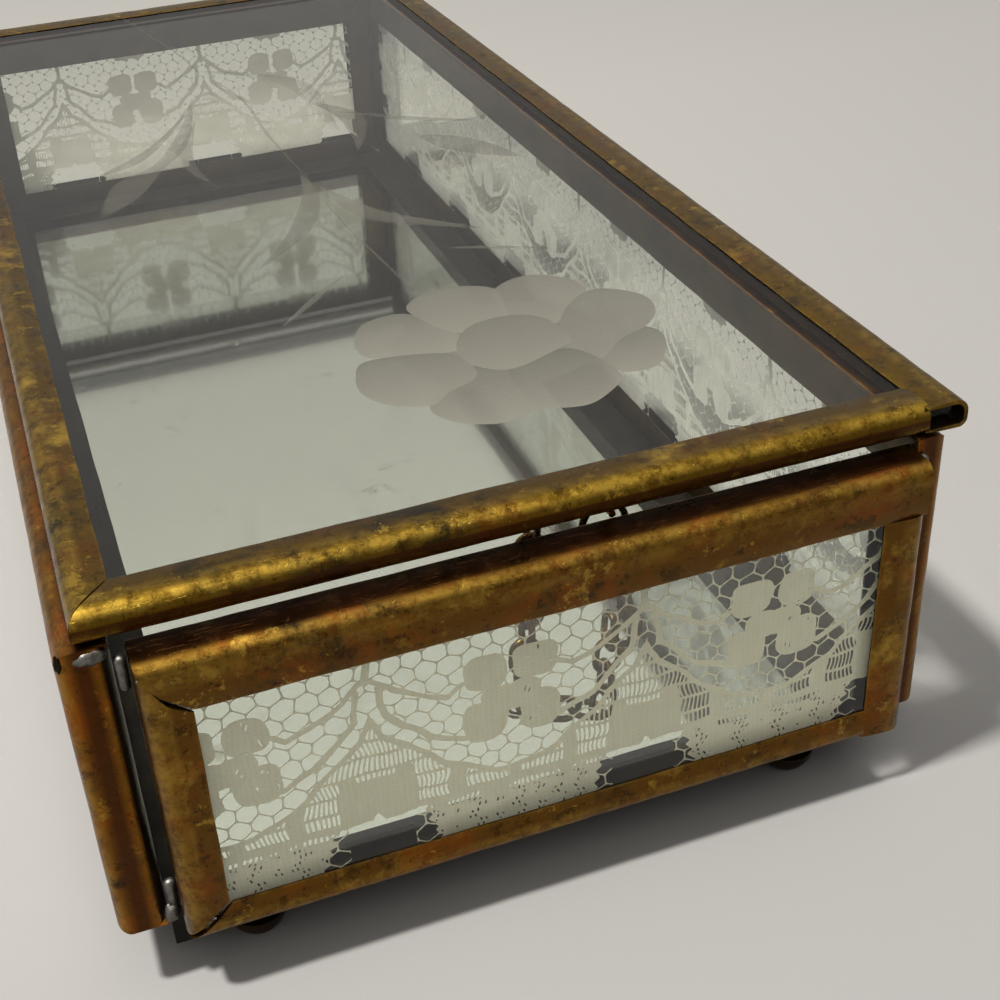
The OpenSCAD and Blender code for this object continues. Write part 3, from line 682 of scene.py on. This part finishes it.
def lace(name, node, side, width, height, step, seed, offset, cotton):
    """One sheet of lace, threads and openings, between its panes."""
    c, size = middle(node)
    nx, ny = int(width / step), int(height / step)
    xs = np.linspace(-width / 2, width / 2, nx)
    ys = np.linspace(-height / 2, height / 2, ny)
    gx, gy = np.meshgrid(xs, ys)
    low = -height / 2 + LIP_COVERS
    field = lace_field(gx + offset, gy - low, TOP, seed)
    field[:, 0] = field[:, -1] = np.maximum(field[:, 0], 0.02)
    points, faces = contour(field)
    px = -width / 2 + points[:, 0] * width / (nx - 1)
    py = -height / 2 + points[:, 1] * height / (ny - 1)
    h = 0.05 * np.sin(px * 1.1 + py * 0.7) + 0.04 * np.sin(py * 1.9 - px * 0.4)
    put = placer(node, side)
    verts = np.array([put(a, b, d) for a, b, d in zip(px, py, h)]) * MM
    obj = make(name, verts, faces, cotton, "box", smooth=True)
    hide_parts(node)
    return obj


lace("near_end_lace_net", "near_end_lace", "near", 68.0, 28.0, 0.09, 11, 17.0, LACE)
lace("far_end_lace_net", "far_end_lace", "far", 68.0, 28.0, 0.2, 12, 4.0, LACE_FAR_LIT)
lace("left_side_lace_net", "left_side_lace", "left", 170.4, 28.8, 0.2, 13, 2.0, LACE_SIDE_SHADE)
lace("right_side_lace_net", "right_side_lace", "right", 170.4, 28.8, 0.2, 14, 9.0, LACE_SIDE_SHADE)


# ---------------------------------------------------------------- the cut flower on the lid
CUT_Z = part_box("lid_glass")[1][2] / MM + 0.012   # the cut is drawn this much above the pane, mm
LAYER = 0.012        # height of one layer of facets over the next, mm
LEAF_LAYER = 0.0015  # the same for leaves and lines


def between(a, b, c, d, t):
    """The point at share t from b to c on a smooth curve through all four."""
    return 0.5 * (2 * b + (c - a) * t + (2 * a - 5 * b + 4 * c - d) * t * t + (3 * b - a - 3 * c + d) * t ** 3)


def closed_curve(points, per=8):
    """A closed smooth curve through the points."""
    p = np.array(points, float)
    out = []
    n = len(p)
    for i in range(n):
        a, b, c, d = p[i - 1], p[i], p[(i + 1) % n], p[(i + 2) % n]
        for k in range(per):
            t = k / per
            out.append(between(a, b, c, d, t))
    return np.array(out)


def cut(name, points, level, dark, light, alpha=0.93, rings=8, per=8):
    """One ground facet: dark and light give how much light it catches at its far edge and near edge."""
    ring = closed_curve(points, per)
    centre = ring.mean(0)
    low, high = ring[:, 1].min(), ring[:, 1].max()
    verts, faces, frost, tone = [], [], [], []
    n = len(ring)
    for k in range(rings + 1):
        f = 1 - k / rings * 0.97
        for q in ring:
            at = centre + (q - centre) * f
            along = (at[1] - low) / (high - low)
            rim = f ** 6
            verts.append((at[0], at[1], CUT_Z + LAYER * level))
            frost.append(alpha)
            catch = light + (dark - light) * along + 0.22 * rim * (0.5 - along)
            tone.append(min(max(0.25 + 0.75 * catch, 0), 1))
    for k in range(rings):
        for j in range(n):
            j2 = (j + 1) % n
            faces.append((k * n + j, k * n + j2, (k + 1) * n + j2, (k + 1) * n + j))
    faces.append(tuple(rings * n + j for j in range(n)))
    ground(name, verts, faces, frost, tone)


def ground(name, verts, faces, frost, tone):
    obj = make(name, np.array(verts) * MM, faces, FROST, "lid", attribute=("frost", frost))
    layer = obj.data.attributes.new("tone", "FLOAT", "POINT")
    layer.data.foreach_set("value", np.asarray(tone, np.float32))
    if obj.data.polygons[0].normal.z < 0:
        obj.data.flip_normals()


# petals and eye: outline, layer, tone at the far edge, tone at the near edge
FLOWER = {
    "left": (
        [(-6.1, -51.0), (-4.2, -47.8), (-0.1, -47.2), (2.8, -50.7), (3.7, -54.2), (3.3, -57.0),
         (0.9, -57.2), (-5.3, -55.4), (-6.4, -53.4)],
        1, 0.2, 0.85,
    ),
    "lower_left": (
        [(-8.1, -58.4), (-6.1, -55.7), (0.9, -57.2), (2.7, -60.7), (2.2, -63.3), (-1.0, -64.9),
         (-3.3, -66.5), (-6.7, -64.8), (-8.4, -61.9)],
        2, 0.15, 0.8,
    ),
    "bottom": (
        [(-3.5, -66.8), (0.1, -62.7), (3.4, -61.0), (6.1, -62.8), (6.0, -66.3), (5.6, -70.7),
         (2.1, -72.1), (-0.2, -71.6), (-2.4, -70.0)],
        1, 0.1, 0.8,
    ),
    "lower_right": (
        [(5.7, -62.9), (9.2, -61.7), (12.4, -61.6), (14.2, -64.5), (14.8, -68.5), (13.3, -70.5),
         (9.9, -72.4), (6.6, -71.6), (5.3, -70.4), (5.3, -66.8)],
        3, 0.05, 0.75,
    ),
    "right": (
        [(13.2, -64.9), (17.0, -61.6), (20.5, -60.2), (21.9, -62.3), (21.0, -65.3), (18.6, -68.3),
         (15.5, -68.3), (14.2, -66.2)],
        1, 0.1, 0.7,
    ),
    "upper_right": (
        [(13.7, -56.5), (16.0, -53.0), (19.0, -50.8), (21.7, -51.4), (24.0, -54.5), (23.4, -58.0),
         (21.1, -60.5), (17.7, -62.0), (14.2, -64.9), (12.5, -62.1)],
        2, 0.25, 0.6,
    ),
    "top": (
        [(10.4, -46.3), (13.7, -44.4), (16.8, -45.2), (19.0, -48.0), (18.9, -51.0), (15.7, -53.8),
         (13.0, -56.2), (9.5, -54.0), (9.7, -49.9)],
        1, 0.3, 0.75,
    ),
    "upper_left": (
        [(0.9, -46.1), (3.9, -43.7), (7.6, -43.8), (10.6, -45.9), (10.2, -50.1), (8.7, -53.6),
         (4.0, -54.0), (1.5, -49.7)],
        3, 0.3, 0.8,
    ),
    "bed": (
        [(-3.0, -53.0), (3.0, -50.0), (8.0, -49.0), (14.0, -51.0), (17.5, -56.0), (16.5, -62.0),
         (12.0, -65.5), (6.0, -66.5), (-1.0, -63.5), (-3.0, -58.0)],
        0, 0.2, 0.6,
    ),
    "eye": (
        [(3.0, -55.8), (5.5, -53.0), (9.7, -52.5), (12.8, -54.7), (13.4, -59.9), (10.8, -61.6),
         (5.9, -63.2), (3.2, -61.4), (2.4, -58.9)],
        5, 0.2, 0.75,
    ),
}
for key, (points, level, dark, light) in FLOWER.items():
    cut("lid_cut_petal_" + key, points, level, dark, light)


def leaf(name, left, right, level, strong, weak, tone):
    """A wheel cut between two edge curves, ground harder along the left one than the right one."""
    n = 26
    one, two = open_curve(np.array(left, float), n), open_curve(np.array(right, float), n)
    along = np.linspace(0, 1, n)
    tips = np.clip(np.minimum(along, 1 - along) * 12, 0, 1)
    shares = (0.0, 0.06, 0.2, 0.5, 0.8, 0.94, 1.0)
    soft = (0.0, 0.8, 1.0, 1.0, 1.0, 0.8, 0.0)
    verts, frost, tones = [], [], []
    for share, edge in zip(shares, soft):
        q = one + (two - one) * share
        verts += [(x, y, CUT_Z + LEAF_LAYER * level) for x, y in q]
        frost += list((strong + (weak - strong) * share) * edge * tips)
        # painted shade: each leaf catches less light towards its right edge
        tones += [tone * (1 - 0.35 * share)] * n
    rows = range(len(shares) - 1)
    faces = [(r * n + i, r * n + i + 1, (r + 1) * n + i + 1, (r + 1) * n + i) for r in rows for i in range(n - 1)]
    ground(name, verts, faces, frost, tones)


def open_curve(p, n):
    """n points on a smooth open curve through p."""
    full = np.vstack([2 * p[:1] - p[1:2], p, 2 * p[-1:] - p[-2:-1]])
    out = []
    for s in np.linspace(0, len(p) - 1, n):
        i = min(int(s), len(p) - 2)
        t = s - i
        a, b, c, d = full[i:i + 4]
        out.append(between(a, b, c, d, t))
    return np.array(out)


# leaves, stems and lines: left edge, right edge, layer, strength along each edge, tone
LEAVES = {
    "leaf_a": (
        [(-7.6, 28.8), (-12.5, 19.6), (-17.7, 12.8), (-23.8, 7.2)],
        [(-8.4, 26.0), (-13.2, 16.2), (-17.9, 9.6), (-23.8, 7.1)],
        1, 0.51, 0.38, 0.27,
    ),
    "leaf_b": (
        [(-5.8, 34.6), (-10.6, 20.0), (-15.9, 8.5), (-21.8, 3.9), (-25.3, -6.9)],
        [(-6.0, 32.8), (-10.3, 14.2), (-15.0, 6.1), (-19.6, -2.6), (-25.2, -7.2)],
        2, 0.42, 0.53, 0.33,
    ),
    "leaf_c": (
        [(-7.8, 23.3), (-11.3, 14.2), (-12.7, 11.0), (-12.1, 3.0), (-9.9, -3.0)],
        [(-7.6, 23.2), (-9.5, 14.9), (-10.6, 8.5), (-10.8, 2.7), (-9.9, -3.0)],
        3, 0.47, 0.42, 0.3,
    ),
    "leaf_d": (
        [(-1.8, 41.1), (0.1, 27.8), (-0.1, 11.5), (0.9, -7.0)],
        [(-1.6, 41.2), (0.5, 27.6), (0.4, 11.2), (1.1, -7.1)],
        4, 0.26, 0.42, 0.18,
    ),
    "leaf_e": (
        [(-3.2, 45.3), (3.6, 38.0), (7.6, 29.6), (8.4, 9.0)],
        [(-3.1, 46.1), (4.2, 40.6), (10.9, 31.0), (9.4, 8.4)],
        5, 0.13, 0.3, 0.24,
    ),
    "leaf_f": (
        [(9.0, 21.9), (10.4, 15.0), (10.2, 7.7), (9.3, 0.2)],
        [(9.4, 22.7), (13.5, 16.2), (13.5, 10.1), (9.4, 0.1)],
        6, 0.64, 0.51, 0.18,
    ),
    "leaf_g": (
        [(10.8, 17.7), (18.0, 11.6), (22.5, 8.0), (27.2, 4.6)],
        [(10.6, 17.1), (17.5, 10.0), (22.0, 6.5), (27.0, 4.3)],
        7, 0.51, 0.3, 0.24,
    ),
    "leaf_h": (
        [(18.0, 3.1), (22.5, 0.2), (25.7, -4.7), (27.7, -11.2)],
        [(17.9, 2.5), (19.5, -3.8), (23.3, -8.2), (27.6, -11.5)],
        1, 0.47, 0.42, 0.21,
    ),
    "crescent": (
        [(0.5, -3.3), (-1.1, -10.8), (-4.1, -18.3), (-7.3, -24.5), (-11.3, -30.3)],
        [(0.9, -3.5), (0.9, -11.7), (-1.1, -18.5), (-4.3, -23.8), (-11.2, -30.5)],
        1, 0.68, 0.61, 0.3,
    ),
    "leaf_i": (
        [(1.3, -8.1), (4.0, -14.7), (7.2, -21.2), (15.2, -30.1)],
        [(1.2, -9.0), (2.4, -17.7), (5.1, -23.3), (15.0, -30.5)],
        2, 0.53, 0.42, 0.45,
    ),
    "stem": (
        [(1.0, -13.1), (1.4, -23.8), (2.1, -31.7), (3.0, -43.0)],
        [(0.7, -13.5), (1.1, -24.3), (1.8, -32.1), (2.8, -43.3)],
        3, 0.42, 0.42, 0.33,
    ),
    "line_k": (
        [(9.9, -33.6), (15.0, -35.7), (20.0, -38.8)],
        [(9.8, -34.0), (14.7, -36.5), (19.9, -39.0)],
        1, 0.51, 0.42, 0.54,
    ),
    "line_l": (
        [(-12.3, -45.2), (-7.8, -39.8), (-2.6, -35.2)],
        [(-12.3, -45.2), (-7.5, -40.9), (-2.6, -35.3)],
        2, 0.64, 0.51, 0.42,
    ),
    "stem_top": (
        [(-9.3, 83.8), (-4.5, 57.9), (-3.0, 43.9)],
        [(-8.9, 84.7), (-4.1, 58.6), (-2.8, 44.2)],
        8, 0.34, 0.34, 0.24,
    ),
}
for key, (left, right, level, strong, weak, tone) in LEAVES.items():
    leaf("lid_cut_" + key, left, right, level, strong, weak, tone)


# ---------------------------------------------------------------- floor mirror
lo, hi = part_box("floor_mirror")
gap = 0.02 * MM
glass_box = [(x, y, z) for z in (lo[2] + gap, hi[2] - 0.1 * gap) for y in (lo[1], hi[1]) for x in (lo[0], hi[0])]
box_faces = [(0, 2, 3, 1), (4, 5, 7, 6), (0, 1, 5, 4), (2, 6, 7, 3), (0, 4, 6, 2), (1, 3, 7, 5)]
floor_glass = make("floor_mirror_glass", glass_box, box_faces, FLOOR_CLEAR, "box", smooth=False)
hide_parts("floor_mirror")
corners = [(x, y, lo[2] + gap / 2) for x, y in ((lo[0], lo[1]), (hi[0], lo[1]), (hi[0], hi[1]), (lo[0], hi[1]))]
silver = make("floor_silvering", corners, [(0, 1, 2, 3)], SILVER, "box", smooth=False)


# ---------------------------------------------------------------- the CAD nodes that show as they are
def paint(node, material, angle=35):
    obj = NODES[node]
    obj.data.materials.clear()
    obj.data.materials.append(material)
    smooth_by_angle(obj, angle)


for wall in ("near_end", "far_end", "left_side", "right_side"):
    for pane in ("outer", "inner"):
        paint(f"{wall}_{pane}_glass", CLEAR, 20)
paint("lid_glass", LID_CLEAR, 20)
paint("floor_backing", CARD, 20)
# the feet take the darker brass: painted shade, so they sink into the shadow under the box
for foot in ("near_left", "near_right", "far_left", "far_right"):
    paint("foot_" + foot, BRASS_PAINTED_SHADE)
for hinge in ("near", "far"):
    paint(hinge + "_hinge_box_knuckles", BRASS_SIDE)
    paint(hinge + "_hinge_lid_knuckle", BRASS_LID)
    paint(hinge + "_hinge_pin", BRASS_CHAIN_LIT)
for node in ("box_chain_ring", "lid_chain_staple", "chain_box_run", "chain_drop", "chain_bend", "chain_lid_run"):
    paint(node, BRASS_CHAIN_LIT, 50)


def lump(points, faces, seed, size):
    """The same skin with the uneven swell of solder that has run and set."""
    noise.seed_set(seed)    # unseeded, the vector noise starts from the clock and differs each run
    out = []
    for p in points:
        q = Vector(p)
        swell = noise.noise_vector(q * 900 + Vector((seed, 0, 0)))
        out.append(q + swell * size)
    return out, faces


source = NODES["corner_solder"].data
skin, faces = lump([v.co for v in source.vertices], [tuple(p.vertices) for p in source.polygons], 3, 0.12 * MM)
run = make("corner_solder_runs", [tuple(v) for v in skin], faces, SOLDER, "box")
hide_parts("corner_solder")


def drop(name, place, radii, seed, material=SOLDER):
    """A drop of metal: a dented ball, place and radii in mm."""
    verts, faces = [], []
    rows, cols = 9, 14
    for i in range(rows + 1):
        for j in range(cols):
            a, b = math.pi * i / rows, 2 * math.pi * j / cols
            d = Vector((math.sin(a) * math.cos(b), math.sin(a) * math.sin(b), math.cos(a)))
            r = 1 + 0.35 * noise.noise(d * 1.7 + Vector((seed, 0, 0)))
            verts.append(tuple((place[k] + radii[k] * r * d[k]) * MM for k in range(3)))
    for i in range(rows):
        for j in range(cols):
            k = (j + 1) % cols
            faces.append((i * cols + j, (i + 1) * cols + j, (i + 1) * cols + k, i * cols + k))
    make(name, verts, faces, material, "box")


drop("solder_upper_left", (-37.6, -86.0, 36.9), (1.3, 0.5, 0.7), 5)
# the left came's tip takes the darker brass: painted shade
drop("came_tip_left", (-40.05, -86.05, 36.95), (0.25, 0.12, 0.8), 4, BRASS_PAINTED_SHADE)
drop("came_tip_near", (-34.55, -89.1, 35.85), (0.2, 0.12, 0.16), 2)
drop("solder_lower_left", (-35.7, -86.3, 8.4), (0.7, 0.6, 1.0), 9)


# the bent ring that joins the chain's two strands, threaded through the end link of each.
# its line, in mm from where the strand from the box ends: up that strand, across it, on to the other strand
RING_LINE = [(0.35, 0.15, 0.0), (-0.25, 0.0, -0.85), (-1.55, -0.25, -0.1), (-1.6, -0.75, 1.2),
             (-1.5, -0.7, 2.3), (-1.25, 0.0, 3.0), (-0.95, 0.75, 2.3), (-0.3, 0.65, 1.2)]
lo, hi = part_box("chain_box_run")
# the pivot's place in that run's box, mm, and the strand's direction, 3.6 degrees off the upright
turn = np.array([hi[0] / MM - 1.44, (lo[1] + hi[1]) / 2 / MM, lo[2] / MM + 1.095])
frame_axes = np.array([(-0.0628, 0, 0.998), (0.998, 0, 0.0628), (0, 1, 0)])
RING_WIRE = 0.26    # its wire's radius
line = turn + closed_curve(RING_LINE, 8) @ frame_axes
ahead_of = np.roll(line, -1, 0) - np.roll(line, 1, 0)
verts, faces = [], []
rounds, sides = len(line), 10
for i, (point, ahead) in enumerate(zip(line, ahead_of)):
    ahead = Vector(ahead).normalized()
    one = ahead.cross(Vector((0.3, 0.2, 0.93))).normalized()
    two = ahead.cross(one)
    for j in range(sides):
        a = 2 * math.pi * j / sides
        verts.append(tuple((Vector(point) + RING_WIRE * (one * math.cos(a) + two * math.sin(a))) * MM))
        i2, j2 = (i + 1) % rounds, (j + 1) % sides
        faces.append((i * sides + j, i * sides + j2, i2 * sides + j2, i2 * sides + j))
make("chain_joining_ring", verts, faces, BRASS_CHAIN_LIT, "chain_near_box")


# ---------------------------------------------------------------- stage, light and camera
def stage_plane(name, corners, material):
    mesh = bpy.data.meshes.new(name)
    mesh.from_pydata(corners, [], [(0, 1, 2, 3)])
    mesh.materials.append(material)
    obj = bpy.data.objects.new(name, mesh)
    scene.collection.objects.link(obj)
    return obj


table = Nodes("pale_table")
p_ = table.add("ShaderNodeTexCoord").outputs["Object"]
table_axes = table.add("ShaderNodeSeparateXYZ")
table.link(p_, table_axes.inputs[0])
# painted light falloff: the table darker near the front and lighter further back
painted_falloff = table.grey(table_axes.outputs["Y"], -0.12, 0.12)
table.shader(Base_Color=table.mix(painted_falloff, (0.354, 0.343, 0.333), (0.437, 0.422, 0.394)), Roughness=0.75)
stage_plane("table", [(-3, -3, 0), (3, -3, 0), (3, 3, 0), (-3, 3, 0)], table.material)

FILL = 0.62     # light from all round on matt surfaces
SKY = 1.0       # brightness of the surroundings where they are seen or mirrored
LOW = 0.3       # share of it at the horizon where it is seen or mirrored, with 1.0 more overhead
LOW_FILL = 0.1  # the same for light on matt surfaces
world = bpy.data.worlds.new("studio")
scene.world = world
world.use_nodes = True
tree = world.node_tree
tree.nodes.clear()
rays = tree.nodes.new("ShaderNodeLightPath")


def world_math(kind, a, b):
    n = tree.nodes.new("ShaderNodeMath")
    n.operation = kind
    for socket, value in zip(n.inputs, (a, b)):
        if isinstance(value, (int, float)):
            socket.default_value = value
        else:
            tree.links.new(value, socket)
    return n.outputs[0]


seen = world_math("MAXIMUM", rays.outputs["Is Camera Ray"], rays.outputs["Is Glossy Ray"])
seen = world_math("MAXIMUM", seen, rays.outputs["Is Transmission Ray"])
split = tree.nodes.new("ShaderNodeSeparateXYZ")
tree.links.new(tree.nodes.new("ShaderNodeTexCoord").outputs["Generated"], split.inputs[0])
up = world_math("MAXIMUM", split.outputs["Z"], 0.0)
low = world_math("ADD", world_math("MULTIPLY", seen, LOW - LOW_FILL), LOW_FILL)
rise = world_math("ADD", world_math("POWER", up, 1.5), low)
strength = world_math("ADD", world_math("MULTIPLY", seen, SKY - FILL), FILL)
back = tree.nodes.new("ShaderNodeBackground")
back.inputs["Color"].default_value = (1.0, 0.985, 0.955, 1)
tree.links.new(world_math("MULTIPLY", strength, rise), back.inputs["Strength"])
tree.links.new(back.outputs[0], tree.nodes.new("ShaderNodeOutputWorld").inputs[0])


def area_light(name, place, target, size, power, colour=(1, 1, 1)):
    data = bpy.data.lights.new(name, "AREA")
    data.shape = "RECTANGLE"
    data.size, data.size_y = size
    data.energy = power
    data.color = colour
    obj = bpy.data.objects.new(name, data)
    obj.location = place
    obj.rotation_euler = (Vector(target) - Vector(place)).to_track_quat("-Z", "Y").to_euler()
    scene.collection.objects.link(obj)


area_light("overhead", (-0.27, -0.12, 0.73), (0, 0, 0.02), (0.06, 0.06), 7.1, (1.0, 0.985, 0.95))
area_light("front", (-0.10, -0.50, 0.62), (0, 0, 0.02), (0.45, 0.25), 0.35, (1.0, 0.985, 0.96))

camera = bpy.data.cameras.new("camera")
camera.sensor_width = 36
camera.lens = 54.2
camera.shift_x = 0.04244
camera.shift_y = -0.0425
camera.clip_start = 0.01
cam = bpy.data.objects.new("camera", camera)
right = Vector((0.941199, -0.333203, -0.055858))
down = Vector((-0.220251, -0.479765, -0.849303))
ahead = Vector((0.256192, 0.811665, -0.524943))
cam.matrix_world = Matrix((
    (right[0], -down[0], -ahead[0], -37.2148 * MM),
    (right[1], -down[1], -ahead[1], -181.0148 * MM),
    (right[2], -down[2], -ahead[2], 108.3981 * MM),
    (0, 0, 0, 1),
))
scene.collection.objects.link(cam)
scene.camera = cam
scene.view_settings.view_transform = "Standard"
